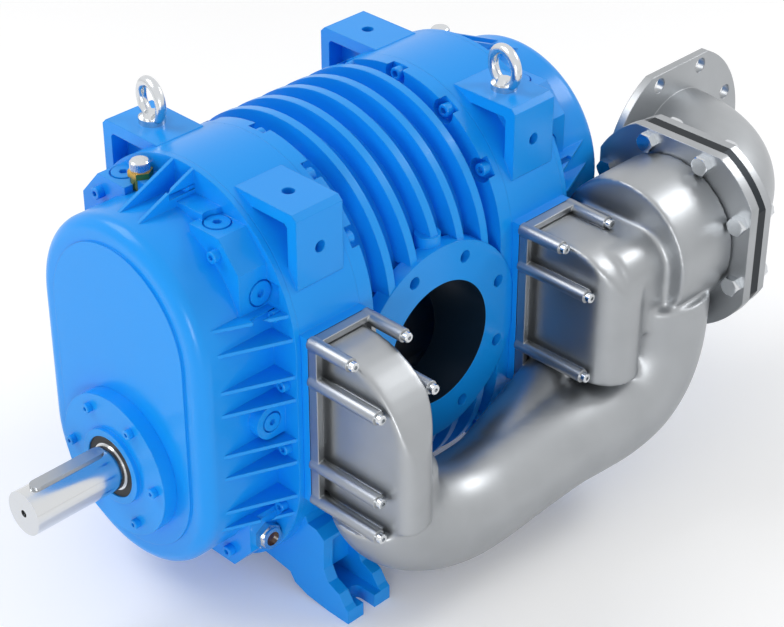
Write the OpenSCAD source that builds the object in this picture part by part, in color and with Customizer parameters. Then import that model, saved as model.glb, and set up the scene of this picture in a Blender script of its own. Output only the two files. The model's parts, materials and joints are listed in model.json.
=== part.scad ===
// Rotary three-lobe vacuum pump with an air-injection manifold.
// Two shafts lie one above the other along Y, and the drive shaft is the lower one.
// Its free end points to the front, which is -Y, and the ports face +X and -X.
// The origin is on the base plane, at the middle of the four feet.

/* [Rotors and shafts] */
// Distance between the two shafts
shaft_spacing = 185; // [175:5:200]
// Length of the rotor chamber along the shafts
chamber_length = 276; // [240:4:320]
// Gap between a lobe and the chamber wall
lobe_gap = 0.5; // [0.3:0.1:0.8]
// Gap between a rotor's end and an end plate
rotor_end_gap = 0.4; // [0.2:0.1:0.8]
// Diameter of the drive shaft's free end
drive_end_dia = 60; // [50:1:61]
// Length of the drive shaft's free end
drive_end_length = 140; // [110:5:160]
// Diameter of the shafts in their bearings
journal_dia = 65; // [62:1:70]
// Width of the key
key_w = 18; // [14:1:20]
// Length of the key
key_length = 110; // [80:5:125]

/* [Casing] */
// Radius of the casing between its fins
casing_r = 165; // [155:1:172]
// Radius at the fins' tips
fin_r = 195; // [185:1:200]
// Number of cooling fins
fin_count = 5; // [3:1:5]
// Thickness of a fin
fin_w = 12; // [8:1:16]
// Distance from fin to fin
fin_pitch = 42; // [36:1:48]
// Height of the shafts' middle above the base
centre_h = 296; // [292:1:320]
// Distance from the shafts' plane to a port's face
port_face = 195; // [190:1:205]
// Diameter of a port's flange
port_od = 285; // [275:1:300]
// Bolt circle of the ports and of the air inlet
port_pcd = 240; // [232:1:248]
// Bore of a port
port_bore = 176; // [150:2:180]
// Diameter of a port's tapped holes
port_hole = 17.3; // [12:0.1:20]
// Thickness of a port's flange
port_t = 22; // [16:1:28]

/* [End plates] */
// Radius of the end plates' round ends
plate_r = 193; // [188:1:200]
// Thickness of an end plate
plate_t = 100; // [92:1:110]
// Width of a lug or foot along the shafts
lug_w = 75; // [60:1:80]
// Height of the lugs' top above the shafts' middle
lug_top = 273; // [255:1:290]
// Distance from the middle to a lug's side face
lug_side = 178; // [170:1:185]
// Diameter of the lugs' lifting holes
lug_hole = 16.5; // [12:0.5:20]
// Distance from the middle to a foot's outer edge
foot_x = 256; // [240:1:280]
// Thickness of a foot's pad
foot_t = 20; // [14:1:26]
// Width of a foot's slot
foot_slot = 20; // [14:1:22]

/* [Covers] */
// Radius of the domed covers
dome_r = 153; // [148:1:158]
// Depth of a cover from its joint to its face
dome_depth = 124; // [118:1:140]
// Wall of the covers
cover_wall = 11; // [8:1:14]
// Thickness of a cover's flange
cover_flange = 8; // [7:1:12]
// Rounding of the cover's outer edge
dome_round = 18; // [10:1:24]
// Radius of the raised face panel
panel_r = 122; // [110:1:128]
// Thickness of the stiffening ribs
rib_w = 5; // [4:0.5:8]
// Radius of the shaft seal cover
seal_cover_r = 98; // [92:1:104]
// Thickness of the shaft seal cover
seal_cover_t = 20; // [14:1:24]

/* [Bearings and gears] */
// Outer diameter of a bearing
bearing_od = 130; // [120:2:140]
// Width of a bearing
bearing_w = 31; // [26:1:36]
// Diameter of a roller
roller_dia = 18; // [14:0.5:20]
// Number of rollers in a bearing
roller_count = 12; // [8:1:13]
// Teeth of a timing gear
gear_teeth = 37; // [31:1:41]
// Width of a timing gear
gear_w = 40; // [30:1:50]
// Backlash between the gears
backlash = 0.5; // [0.3:0.1:0.8]

/* [Air manifold] */
// Half height of a duct's plate
duct_half_h = 122; // [116:1:128]
// Width of a duct's plate
duct_w = 100; // [92:1:108]
// Thickness of a duct's plate
duct_plate_t = 14; // [10:1:18]
// Width of a duct's hood
hood_w = 68; // [60:1:74]
// Distance from the middle to a hood's outer face
hood_x = 358; // [340:1:370]
// Wall of the manifold
duct_wall = 8; // [6:0.5:10]
// Outer radius of the cross pipe
pipe_r = 70; // [64:1:71]
// Outer radius of the valve housing
valve_r = 105; // [100:1:110]
// Outer diameter of the valve's flanges
valve_flange_od = 285; // [275:1:300]
// Bore of the valve's seat
seat_bore = 124; // [100:2:130]
// Largest opening angle of the valve flap
flap_angle = 40; // [20:5:45]
// Bend radius of the inlet elbow
elbow_bend = 138; // [130:1:150]
// Outer radius of the inlet elbow
elbow_r = 86; // [82:1:92]

/* [Fits] */
// Gap between a turned piece and the hole it sits in
seat_gap = 0.05; // [0.02:0.01:0.1]
// Gap between two pieces that move past each other
run_gap = 0.4; // [0.3:0.1:0.8]

/* [Hidden] */
$fn = 72;
eps = 0.01;
half = shaft_spacing / 2;
blue = [0.11, 0.55, 0.93];
cast_alu = [0.70, 0.71, 0.72];
steel = [0.75, 0.76, 0.78];

// Places along the shafts, as distances from the middle
plate_in = chamber_length / 2;
plate_out = plate_in + plate_t;
flange_out = plate_out + cover_flange;
face_out = plate_out + dome_depth;
inner_face = face_out - cover_wall;
lug_y = 189.5;
lug_rim = 16;
lug_web = 26;

// Rotors, bearings and gears
pitch_r = half;
roll_r = pitch_r / 6;
tip_r = pitch_r + 2 * roll_r;
chamber_r = tip_r + lobe_gap;
rotor_half = plate_in - rotor_end_gap;
bearing_in = plate_in + 30;
bearing_out = bearing_in + bearing_w;
inner_ring_od = bearing_od - 2 * roller_dia - 18;
seal_len = 16;
shaft_hole_r = journal_dia / 2 + 12;
gear_module = shaft_spacing / gear_teeth;
gear_in = plate_out + 22;
gear_bore = journal_dia - 10;

// Feet, pads and ducts
foot_y = lug_y;
duct_x = 205.2;
duct_y = 188;
plate_face = duct_x + duct_plate_t;
long_boss = 318;
short_boss = 273;
boss_r = 9;
row_top = 115;
row_mid = 61.5;
column = 44.7;
duct_screw_r = 4;
gasket_t = 1;
port_half_w = 22;
port_half_h = 70;

// Valve and elbow
valve_x = 276;
valve_z = 58;
valve_front = 262;
flange_y = 366;
flange_t = 15;
ring_t = 16;
elbow_flange_t = 13;
seat_y = flange_y + flange_t;
elbow_y = seat_y + ring_t;
elbow_start = elbow_y + elbow_flange_t;
bolt_r = 8;
nut_r = 13.8;
flap_r = seat_bore / 2 + 8;
flap_t = 8;
flap_boss_r = 36;
flap_boss_t = 18;
hinge_up = flap_r + 6;
hinge_y = seat_y - 9;
pin_r = 5;
pin_half = 64;
inlet_x = valve_x - elbow_bend;
inlet_y = elbow_start + elbow_bend;
inlet_t = 12;
inlet_hole_r = 11;

// Turns a form drawn flat, with its thickness along Z, to face along Y
module facing_front() rotate([90, 0, 0]) children();

// Mirrors a front piece to the rear
module at_rear() mirror([0, 1, 0]) children();

// Places children at the middle of the port
module from_centre() translate([0, 0, centre_h]) children();

// A rod along Y from y0 to y1
module rod_y(r, y0, y1, x = 0, z = 0)
    translate([x, y0, z]) rotate([-90, 0, 0]) cylinder(r = r, h = y1 - y0);

// A rod along X from x0 to x1
module rod_x(r, x0, x1, y = 0, z = 0)
    translate([x0, y, z]) rotate([0, 90, 0]) cylinder(r = r, h = x1 - x0);

// A block from its lowest corner to its highest
module block(a, b) translate(a) cube(b - a);

// The long round outline that the casing, plates and covers share
module long_round(r, from, to) {
    rod_y(r, from, to, 0, half);
    rod_y(r, from, to, 0, -half);
    block([-r, from, -half], [r, to, half]);
}

// Sweeps a profile (x = radius, y = depth) round the long outline, facing the front
module around_long() facing_front() {
    translate([0, half, 0]) rotate_extrude(angle = 180) children();
    translate([0, -half, 0]) rotate([0, 0, 180]) rotate_extrude(angle = 180) children();
    for (s = [0, 180]) rotate([0, 0, s]) translate([0, half, 0]) rotate([90, 0, 0])
        linear_extrude(2 * half) children();
}

// A socket screw along Z with its head on z = 0
module socket_screw(d, head_d, head_h, length, socket) {
    difference() {
        cylinder(d = head_d, h = head_h);
        translate([0, 0, head_h / 2]) cylinder(d = socket, h = head_h, $fn = 6);
    }
    translate([0, 0, -length]) cylinder(d = d, h = length + eps);
}

// Rotor profile

function lobe_point(t, gap) =
    let (k = floor(t / 60 + 0.5), u = t - 60 * k, outer = k % 2 == 0,
         c = pitch_r + (outer ? roll_r : -roll_r),
         turn = (outer ? 7 : -5) * (u + 30) + (outer ? 180 : 0),
         px = c * cos(u + 30) + roll_r * cos(turn),
         py = c * sin(u + 30) + roll_r * sin(turn),
         qx = pitch_r * cos(u + 30), qy = pitch_r * sin(u + 30),
         nx = (px - qx) * (outer ? 1 : -1), ny = (py - qy) * (outer ? 1 : -1),
         n = max(norm([nx, ny]), 0.001),
         x = px - gap * nx / n, y = py - gap * ny / n,
         a = 60 * k - 30)
    [x * cos(a) - y * sin(a), x * sin(a) + y * cos(a)];

lobe_step = 2.5;
mesh_gap = 0.3;

module rotor_form() polygon([
    for (t = [-30 + lobe_step / 2 : lobe_step : 330 - lobe_step / 2]) lobe_point(t, mesh_gap)
]);

// Involute timing gear

pressure = 20;
base_r = pitch_r * cos(pressure);
gear_tip = pitch_r + gear_module;
gear_root = pitch_r - 1.25 * gear_module;
function inv_angle(r) = let (q = sqrt(max(0, r * r / (base_r * base_r) - 1))) q * 180 / PI - atan(q);
tooth_half = 90 / gear_teeth - backlash / 2 / pitch_r * 180 / PI / 2;
function flank_angle(r) = tooth_half + inv_angle(pitch_r) - inv_angle(max(r, base_r));
flank_radii = [gear_root, base_r, pitch_r - 1.5, pitch_r, pitch_r + 1.8, pitch_r + 3.5, gear_tip];

module gear_form() polygon([
    for (i = [0 : gear_teeth - 1]) each concat(
        [for (r = flank_radii) let (a = 360 * i / gear_teeth - flank_angle(r)) r * [cos(a), sin(a)]],
        [for (j = [len(flank_radii) - 1 : -1 : 0])
            let (r = flank_radii[j], a = 360 * i / gear_teeth + flank_angle(r)) r * [cos(a), sin(a)]]
    )
]);

// Rotor casing with its fins, the two ports, and a ring at each end for the screws to the end plates

ring_w = 22;
ring_floor = 10;
pocket_r = 17;
casing_screw_r = 6;
casing_screw_ring = 182;

module casing_screw_places() for (s = [0, 180], a = [33 : 28.5 : 147]) rotate([0, s, 0])
    translate([casing_screw_ring * cos(a), 0, half + casing_screw_ring * sin(a)]) children();

module port_side() {
    rod_x(port_od / 2, port_face - port_t, port_face);
    rod_x(port_bore / 2 + 22, casing_r - 45, port_face);
}

module port_cut() {
    rod_x(port_bore / 2, 60, port_face + 1);
    for (i = [0 : 7]) rotate([45 * i + 22.5, 0, 0])
        rod_x(port_hole / 2, port_face - 32, port_face + 1, port_pcd / 2, 0);
}

module rotor_casing() color(blue) from_centre() difference() {
    union() {
        long_round(casing_r, -plate_in, plate_in);
        for (i = [0 : fin_count - 1]) {
            y = (i - (fin_count - 1) / 2) * fin_pitch;
            difference() {
                long_round(fin_r, y - fin_w / 2, y + fin_w / 2);
                for (s = [0, 1]) mirror([s, 0, 0]) rod_x(port_od / 2 - 4, 100, fin_r + 1);
            }
        }
        for (s = [0, 1]) mirror([s, 0, 0]) port_side();
        both_ends() long_round(plate_r, -plate_in, -plate_in + ring_w);
        for (s = [0, 1]) mirror([s, 0, 0]) translate([172, 0, 100]) cylinder(r = 17, h = 56);
    }
    both_ends() casing_screw_places() {
        rod_y(pocket_r, -plate_in + ring_floor, -plate_in + ring_w + 1);
        rod_y(casing_screw_r + seat_gap, -plate_in - 1, -plate_in + ring_w);
    }
    for (z = [half, -half]) rod_y(chamber_r, -plate_in - 1, plate_in + 1, 0, z);
    for (s = [0, 1]) mirror([s, 0, 0]) port_cut();
}

// End plate, drawn for the front

module lug_outline() polygon([
    [60, half + 100], [68, lug_top - 3], [72, lug_top], [lug_side - 7, lug_top], [lug_side, lug_top - 7],
    [lug_side, 173], [lug_side - 3, 170], [lug_side - 3, 120], [100, 120]
]);

module lug_pocket() polygon([
    [92, lug_top - lug_rim], [lug_side - lug_rim - 4, lug_top - lug_rim],
    [lug_side - lug_rim, lug_top - lug_rim - 4], [lug_side - lug_rim, 178], [150, 178]
]);

module foot_outline() polygon([
    [70, -262], [97, -264], [148, -271], [157, -284], [180, -292], [220, -centre_h], [foot_x, -centre_h],
    [foot_x, -centre_h + foot_t], [250, -centre_h + foot_t + 5], [240, -256], [221, -248],
    [212.3, -231], [213.5, -184], [200, -173.5], [184, -172], [170, -140], [120, -150]
]);

// A lug with a web along its middle and a pocket on each side of it
module lug() difference() {
    translate([0, -lug_y + lug_w / 2, 0]) facing_front() linear_extrude(lug_w) lug_outline();
    for (s = [-1, 1]) translate([0, -lug_y + s * (lug_w / 2 + lug_web / 2), 0]) translate([0, lug_w / 2, 0])
        facing_front() linear_extrude(lug_w) lug_pocket();
}

module lug_holes() {
    translate([125, -lug_y, lug_top - 42]) cylinder(d = lug_hole, h = 50);
    rod_x(lug_hole / 2 - 0.25, lug_side - 30, lug_side + 1, -lug_y, 218.7);
}

module foot() difference() {
    translate([0, -foot_y + lug_w / 2, 0]) facing_front() linear_extrude(lug_w) foot_outline();
    block([130, -foot_y - lug_w / 2 + 16, -250], [foot_x + 1, -foot_y + lug_w / 2 - 16, -centre_h + foot_t + eps]);
    block([196, -foot_y - lug_w / 2 + 16, -centre_h + foot_t], [foot_x + 1, -foot_y + lug_w / 2 - 16, -190]);
    hull() for (x = [232, foot_x + 20])
        translate([x, -foot_y, -centre_h - 1]) cylinder(d = foot_slot, h = foot_t + 40, $fn = 32);
}

module duct_pad()
    block([plate_r - 20, -duct_y - duct_w / 2, -duct_half_h], [duct_x - gasket_t, -duct_y + duct_w / 2, duct_half_h]);

// The places of a duct's screws, each along X; the pipe lies over one corner of the front duct
module duct_rows(under_pipe) for (z = [row_top, row_mid, -row_mid, -row_top], c = [-column, column])
    if (under_pipe || z > -row_top || c < 0) translate([0, -duct_y + c, z]) {
        $boss_end = z > row_mid + 1 ? short_boss : long_boss;
        children();
    }

module both_duct_rows() {
    duct_rows(false) children();
    at_rear() duct_rows(true) children();
}

module shaft_tunnel(z) {
    rod_y(shaft_hole_r, -plate_out - 1, -plate_in + 1, 0, z);
    rod_y(bearing_od / 2 + seat_gap, -plate_out - 1, -bearing_in, 0, z);
}

module end_plate(under_pipe) color(blue) from_centre() difference() {
    union() {
        long_round(plate_r, -plate_out, -plate_in);
        for (s = [0, 1]) mirror([s, 0, 0]) {
            lug();
            foot();
        }
        duct_pad();
    }
    for (z = [half, -half]) shaft_tunnel(z);
    casing_screw_places() rod_y(casing_screw_r + seat_gap, -plate_in - 24, -plate_in + 1);
    for (p = cover_screw_places)
        rod_y(cover_screw_r + seat_gap, -plate_out - 1, -plate_out + cover_hole, p[0], p[1]);
    for (s = [0, 1]) mirror([s, 0, 0]) {
        lug_holes();
        rod_x(port_od / 2 + seat_gap, port_face - port_t - seat_gap, port_face + 1);
    }
    duct_rows(under_pipe) rod_x(duct_screw_r + seat_gap, duct_x - 26, duct_x + 1);
    air_passage();
}

// The injection port behind each duct, opening in its pad
module air_passage() block([118, -duct_y - port_half_w, -port_half_h], [duct_x, -duct_y + port_half_w, port_half_h]);

module front_end_plate() end_plate(false);

module rear_end_plate() at_rear() end_plate(true);

// Covers, drawn for the front

cover_screw_r = 5;
cover_hole = 27;
block_out = 290;
block_top = half + 151;
block_side = 145;
corner_screw = [108, 220];
arc_screw = 170;
flat_screws = [
    for (sx = [-1, 1], sz = [-1, 1]) [sx * 173, sz * 47],
    for (sx = [-1, 1], sz = [-1, 1]) [sx * arc_screw * cos(17), sz * (half + arc_screw * sin(17))],
    for (sz = [-1, 1]) [12, sz * (half + 168)]
];
corner_screws = [for (sx = [-1, 1], sz = [-1, 1]) [sx * corner_screw[0], sz * corner_screw[1]]];
cover_screw_places = concat(flat_screws, corner_screws);
rib_heights = [30, 63.5, 116, 147];
sight_place = [block_side, -264, -190];
filler_place = [-60, -264];
plug_places_top = [[82, -265], [-92, -265]];
plug_r = 18;
plug_depth = 5;
small_plug_r = 14.5;
side_plug = [-257, 169];
pad_side = 170;
pad_r = 24;
pad_plug_y = -268;

module corner_block_outline() polygon([
    [60, half + 60], [60, block_top], [112, block_top], [block_side, 206], [block_side, 130], [100, 130]
]);

module dome_profile(r, depth, round_r) {
    square([r, depth - round_r]);
    square([r - round_r, depth]);
    translate([r - round_r, depth - round_r]) circle(round_r);
}

module rib(z, tip_x, root_x) translate([0, 0, z - rib_w / 2]) linear_extrude(rib_w) polygon([
    [120, -flange_out + 1], [root_x, -flange_out + 1], [root_x, -flange_out], [tip_x, -340], [120, -340]
]);

module top_rib(x) translate([x - rib_w / 2, 0, 0]) rotate([90, 0, 90]) linear_extrude(rib_w) polygon([
    [-flange_out + 1, half + 120], [-flange_out + 1, 284], [-flange_out, 284], [-340, half + 149],
    [-340, half + 120]
]);

function rib_root(z) = abs(z) <= half ? plate_r - 4 : sqrt(pow(plate_r - 4, 2) - pow(abs(z) - half, 2));
function rib_tip(z) = abs(z) <= half ? dome_r - 3 : sqrt(pow(dome_r - 3, 2) - pow(abs(z) - half, 2));

module cover_outside() {
    long_round(plate_r, -flange_out, -plate_out);
    translate([0, -plate_out, 0]) around_long() dome_profile(dome_r, dome_depth, dome_round);
    translate([0, -face_out + eps, 0]) facing_front() linear_extrude(panel_t) {
        for (z = [half, -half]) translate([0, z]) circle(panel_r);
        square([2 * panel_r, shaft_spacing], center = true);
    }
    for (s = [-1, 1], z = rib_heights, t = [-1, 1])
        mirror([s < 0 ? 1 : 0, 0, 0]) rib(t * z, rib_tip(z), rib_root(z));
    for (x = [-18, 18]) top_rib(x);
    for (sx = [0, 1], sz = [0, 1]) mirror([sx, 0, 0]) mirror([0, 0, sz])
        translate([0, -plate_out, 0]) facing_front() linear_extrude(block_out - plate_out) corner_block_outline();
    block([20, -275, half + 130], [68, -plate_out, block_top + 8]);
    block([-68, -275, half + 130], [-30, -plate_out, block_top + 8]);
    for (s = [0, 1]) mirror([s, 0, 0]) {
        rod_x(pad_r, 130, pad_side, pad_plug_y, 0);
        block([130, pad_plug_y, -pad_r], [pad_side, -plate_out, pad_r]);
    }
}

module cover_inside() {
    translate([0, -plate_out + eps, 0]) around_long()
        dome_profile(dome_r - cover_wall, dome_depth - cover_wall, dome_round - 8);
}

module plug_seats() {
    for (p = plug_places_top) translate([p[0], p[1], block_top - plug_depth]) cylinder(r = plug_r + seat_gap, h = 20);
    for (s = [0, 1]) mirror([s, 0, 0])
        rod_x(plug_r + seat_gap, block_side - plug_depth, block_side + 20, side_plug[0], side_plug[1]);
    rod_x(small_plug_r + seat_gap, pad_side - plug_depth, pad_side + 30, pad_plug_y, 0);
}

module cover() color(blue) from_centre() difference() {
    cover_outside();
    cover_inside();
    plug_seats();
    rod_x(13 + seat_gap, block_side - 14, block_side + 20, sight_place[1], sight_place[2]);
    translate([filler_place[0], filler_place[1], block_top - 8]) cylinder(r = 13 + seat_gap, h = 40);
    for (p = flat_screws) rod_y(cover_screw_r + seat_gap, -flange_out - 1, -plate_out + 1, p[0], p[1]);
    for (p = flat_screws) rod_y(9, -flange_out - 40, -flange_out, p[0], p[1]);
    for (p = corner_screws) rod_y(cover_screw_r + seat_gap, -block_out - 1, -plate_out + 1, p[0], p[1]);
}

module front_cover() difference() {
    cover();
    color(blue) from_centre() {
        rod_y(spigot_r, -face_out - 10, -inner_face + 1, 0, -half);
        for (i = [0 : 5]) rotate_screw(i) rod_y(4 + seat_gap, -face_out - 10, -face_out + 25);
    }
}

// The rear ribs are cut back round the valve housing
module rear_cover() difference() {
    at_rear() cover();
    color(blue) from_centre() rod_y(valve_r + 5, flange_out + 1, face_out, valve_x, valve_z);
}

// Shaft seal cover on the front cover's panel

panel_t = 3;
seal_face = face_out + panel_t + seal_cover_t;
spigot_r = 70;
seal_screw_pcd = 80;
hub_r = 52;

module rotate_screw(i) translate([0, 0, -half]) rotate([0, 60 * i, 0]) translate([seal_screw_pcd, 0, 0]) children();

module shaft_seal_cover() color(blue) from_centre() difference() {
    union() {
        rod_y(seal_cover_r, -seal_face, -face_out - panel_t, 0, -half);
        rod_y(hub_r, -seal_face - 6, -face_out - panel_t, 0, -half);
        rod_y(spigot_r - seat_gap, -face_out - panel_t, -inner_face, 0, -half);
    }
    rod_y(journal_dia / 2 + 1.5, -seal_face - 10, -inner_face + 1, 0, -half);
    rod_y(lip_r, -seal_face - 10, -seal_face + 8, 0, -half);
    for (i = [0 : 5]) rotate_screw(i) rod_y(4 + seat_gap, -seal_face - 1, -face_out + 1);
}

lip_r = journal_dia / 2 + 10;

module lip_seal() color([0.08, 0.08, 0.09]) from_centre() difference() {
    rod_y(lip_r - seat_gap, -seal_face - 4, -seal_face + 8 - seat_gap, 0, -half);
    rod_y(journal_dia / 2 + seat_gap, -seal_face - 10, -seal_face + 10, 0, -half);
}

// Seals and bearings in the end plates

module both_ends() {
    children();
    at_rear() children();
}

module rotor_shaft_seals() color([0.25, 0.25, 0.27]) from_centre() both_ends() for (z = [half, -half])
    difference() {
        rod_y(shaft_hole_r - seat_gap, -plate_in - 6 - seal_len, -plate_in - 6, 0, z);
        rod_y(journal_dia / 2 + seat_gap, -plate_out, -plate_in, 0, z);
    }

module bearing_outer_rings() color(steel) from_centre() both_ends() for (z = [half, -half])
    difference() {
        rod_y(bearing_od / 2, -bearing_out, -bearing_in, 0, z);
        rod_y(inner_ring_od / 2 + roller_dia + 2 * seat_gap, -bearing_out - 1, -bearing_in + 1, 0, z);
    }

module bearing_rollers() color(steel) from_centre() both_ends() for (z = [half, -half], i = [0 : roller_count - 1])
    translate([0, 0, z]) rotate([0, 360 * i / roller_count + 15, 0])
        rod_y(roller_dia / 2, -bearing_out + 4, -bearing_in - 4, inner_ring_od / 2 + roller_dia / 2 + seat_gap, 0);

module inner_rings(z) color(steel) from_centre() both_ends() difference() {
    rod_y(inner_ring_od / 2, -bearing_out, -bearing_in, 0, z);
    rod_y(journal_dia / 2 + seat_gap, -bearing_out - 1, -bearing_in + 1, 0, z);
}

module drive_inner_rings() inner_rings(-half);

module driven_inner_rings() inner_rings(half);

module bearing_caps() color([0.35, 0.36, 0.38]) from_centre() both_ends() for (z = [half, -half])
    difference() {
        rod_y(bearing_od / 2 - seat_gap, -plate_out, -bearing_out, 0, z);
        rod_y(journal_dia / 2 + 4, -plate_out - 1, -bearing_out + 1, 0, z);
    }

// Drive and driven shafts, rotors and gears

module rotor_at(z, turn) color([0.62, 0.64, 0.66]) from_centre() translate([0, 0, z]) difference() {
    translate([0, rotor_half, 0]) facing_front() linear_extrude(2 * rotor_half) rotate(turn) rotor_form();
    rod_y(journal_dia / 2 + 5 + seat_gap, -rotor_half - 1, rotor_half + 1);
}

module shaft_core(z) {
    rod_y(journal_dia / 2 + 5, -plate_in + rotor_end_gap, plate_in - rotor_end_gap, 0, z);
    rod_y(journal_dia / 2, -bearing_out - 6, bearing_out + 6, 0, z);
    rod_y(gear_bore / 2, bearing_out, gear_in + gear_w + 12, 0, z);
}

module drive_shaft() color(steel) from_centre() {
    difference() {
        union() {
            shaft_core(-half);
            rod_y(journal_dia / 2, -seal_face - 5, -bearing_out, 0, -half);
            rod_y(drive_end_dia / 2, -shaft_end, -seal_face, 0, -half);
        }
        rod_y(5, -shaft_end - 1, -shaft_end + 12, 0, -half);
        key_form(seat_gap);
    }
}

shaft_end = seal_face + drive_end_length;
key_h = 11;

module key_form(grow) hull() for (t = [0, 1])
    translate([0, -shaft_end + 14 + key_w / 2 + t * (key_length - key_w), -half + drive_end_dia / 2 - 7 - grow])
        cylinder(d = key_w + 2 * grow, h = key_h + grow, $fn = 32);

module shaft_key() color([0.6, 0.61, 0.63]) from_centre() key_form(0);

module driven_shaft() color(steel) from_centre() shaft_core(half);

module drive_rotor() rotor_at(-half, 90);

module driven_rotor() rotor_at(half, 90);

module gear_at(z, turn) color([0.55, 0.56, 0.58]) from_centre() translate([0, 0, z]) difference() {
    translate([0, gear_in + gear_w, 0]) facing_front() linear_extrude(gear_w) rotate(turn) gear_form();
    rod_y(gear_bore / 2 + seat_gap, gear_in - 1, gear_in + gear_w + 1);
}

module drive_gear() gear_at(-half, 90);

module driven_gear() gear_at(half, -90 + 180 / gear_teeth);

module oil_slingers() color(steel) from_centre() difference() {
    rod_y(104, -plate_out - 34, -plate_out - 28, 0, -half);
    rod_y(journal_dia / 2 + seat_gap, -plate_out - 40, -plate_out - 20, 0, -half);
}

// Lifting eyes on two corners

module eye_bolt() {
    cylinder(r = lug_hole / 2 - seat_gap, h = 36);
    translate([0, 0, 36]) {
        cylinder(r = 17.5, h = 8);
        translate([0, 0, 30]) rotate([90, 0, -10]) rotate_extrude() translate([24.5, 0]) circle(7);
        cylinder(r1 = 15, r2 = 9, h = 14);
    }
}

module eye_bolts() color([0.82, 0.83, 0.84]) from_centre() for (s = [1, -1])
    translate([s * 125, s * lug_y, lug_top - 36]) eye_bolt();

// Oil filler, plugs and sight glass on both covers

module oil_filler_bases() color([0.72, 0.55, 0.22]) from_centre() both_ends()
    translate([filler_place[0], filler_place[1], block_top]) {
        translate([0, 0, -8]) cylinder(r = 13, h = 16 + eps);
        translate([0, 0, 8]) cylinder(r = 16, h = 8, $fn = 6);
    }

module oil_filler_caps() color(steel) from_centre() both_ends()
    translate([filler_place[0], filler_place[1], block_top + 16]) cylinder(r = 13, h = 13);

module plug_disc(r, t) difference() {
    union() {
        cylinder(r = r - 2, h = t);
        cylinder(r = r, h = 2);
    }
    translate([0, 0, t - 5]) cylinder(d = r * 0.66, h = 10, $fn = 6);
}

module plug_discs() color(blue) from_centre() both_ends() {
    for (p = plug_places_top) translate([p[0], p[1], block_top - plug_depth]) plug_disc(plug_r, plug_depth + 1);
    for (s = [0, 1]) mirror([s, 0, 0]) translate([block_side - plug_depth, side_plug[0], side_plug[1]])
        rotate([0, 90, 0]) plug_disc(plug_r, plug_depth + 1);
    translate([pad_side - plug_depth, pad_plug_y, 0]) rotate([0, 90, 0]) plug_disc(small_plug_r, plug_depth + 1);
}

module sight_at() from_centre() both_ends() translate([block_side, sight_place[1], sight_place[2]])
    rotate([0, 90, 0]) children();

module sight_glass_rings() color(steel) sight_at() difference() {
    union() {
        translate([0, 0, -14]) cylinder(r = 13, h = 20);
        cylinder(r = 19, h = 9, $fn = 6);
        cylinder(r = 15, h = 14);
    }
    translate([0, 0, -15]) cylinder(r = 10, h = 40);
}

module sight_glass_windows() color([0.35, 0.22, 0.1]) sight_at()
    translate([0, 0, 2]) cylinder(r = 10 - seat_gap, h = 8);

// Screws

module cover_screws() color(blue) from_centre() {
    for (p = flat_screws) translate([p[0], -flange_out, p[1]]) rotate([90, 0, 0])
        socket_screw(2 * cover_screw_r, 16, 10, 34, 8);
    for (p = corner_screws) translate([p[0], -block_out, p[1]]) rotate([90, 0, 0])
        socket_screw(2 * cover_screw_r, 16, 10, 70, 8);
}

module front_cover_screws() cover_screws();

module rear_cover_screws() at_rear() cover_screws();

module casing_screws() color(blue) from_centre() both_ends() casing_screw_places()
    translate([0, -plate_in + ring_floor, 0]) rotate([-90, 0, 0])
        socket_screw(2 * casing_screw_r, 18, 12, ring_floor + 20, 10);

module seal_cover_screws() color(blue) from_centre() for (i = [0 : 5])
    rotate_screw(i) translate([0, -seal_face, 0]) rotate([90, 0, 0]) socket_screw(8, 13, 8, 26, 6);

module duct_screws() color(steel) from_centre() both_duct_rows() translate([$boss_end, 0, 0])
    rotate([0, 90, 0]) socket_screw(2 * duct_screw_r, 13, 8, $boss_end - duct_x + 20, 6);

// Air manifold: two ducts, the cross pipe and the valve housing

module duct_gaskets() color([0.2, 0.2, 0.22]) from_centre() difference() {
    both_ends() difference() {
        block([duct_x - gasket_t, -duct_y - duct_w / 2, -duct_half_h], [duct_x, -duct_y + duct_w / 2, duct_half_h]);
        block([duct_x - 2, -duct_y - port_half_w, -port_half_h], [duct_x + 1, -duct_y + port_half_w, port_half_h]);
    }
    both_duct_rows() rod_x(duct_screw_r + seat_gap, duct_x - 2, duct_x + 1);
}

hood_top = 113;
front_bottom = -110;
rear_bottom = -78;
hood_arc = 130;
arc_x = hood_x - hood_arc;
arc_z = hood_top - hood_arc;

module hood_outline(inset, bottom) {
    intersection() {
        translate([arc_x, arc_z]) circle(hood_arc - inset);
        translate([arc_x, arc_z]) square([hood_arc, hood_arc]);
    }
    translate([duct_x - 2 * inset, bottom + inset])
        square([arc_x - duct_x + 2 * inset, hood_top - bottom - 2 * inset]);
    translate([arc_x - 1, bottom + inset]) square([hood_arc + 1 - inset, arc_z - bottom - inset]);
}

// Seen from above, a hood has a wide rounding on its inner edge and a small one on its outer edge
inner_round = 45;
outer_round = 20;

module hood_plan(inset) {
    inner = -duct_y + hood_w / 2;
    outer = -duct_y - hood_w / 2;
    side = hood_x - inner_round;
    translate([side, inner - inner_round]) circle(inner_round - inset);
    translate([hood_x - outer_round, outer + outer_round]) circle(outer_round - inset);
    translate([duct_x - 2 * inset, outer + inset])
        square([side - duct_x + 2 * inset, hood_w - 2 * inset]);
    translate([side - 1, outer + inset])
        square([inner_round - outer_round + 1, hood_w - inner_round - inset]);
    translate([side - 1, outer + outer_round])
        square([inner_round - inset + 1, hood_w - inner_round - outer_round]);
}

module hood(inset, bottom) intersection() {
    translate([0, -duct_y + hood_w / 2 - inset, 0]) facing_front()
        linear_extrude(hood_w - 2 * inset) hood_outline(inset, bottom);
    translate([0, 0, bottom]) linear_extrude(hood_top - bottom) hood_plan(inset);
}

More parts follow.
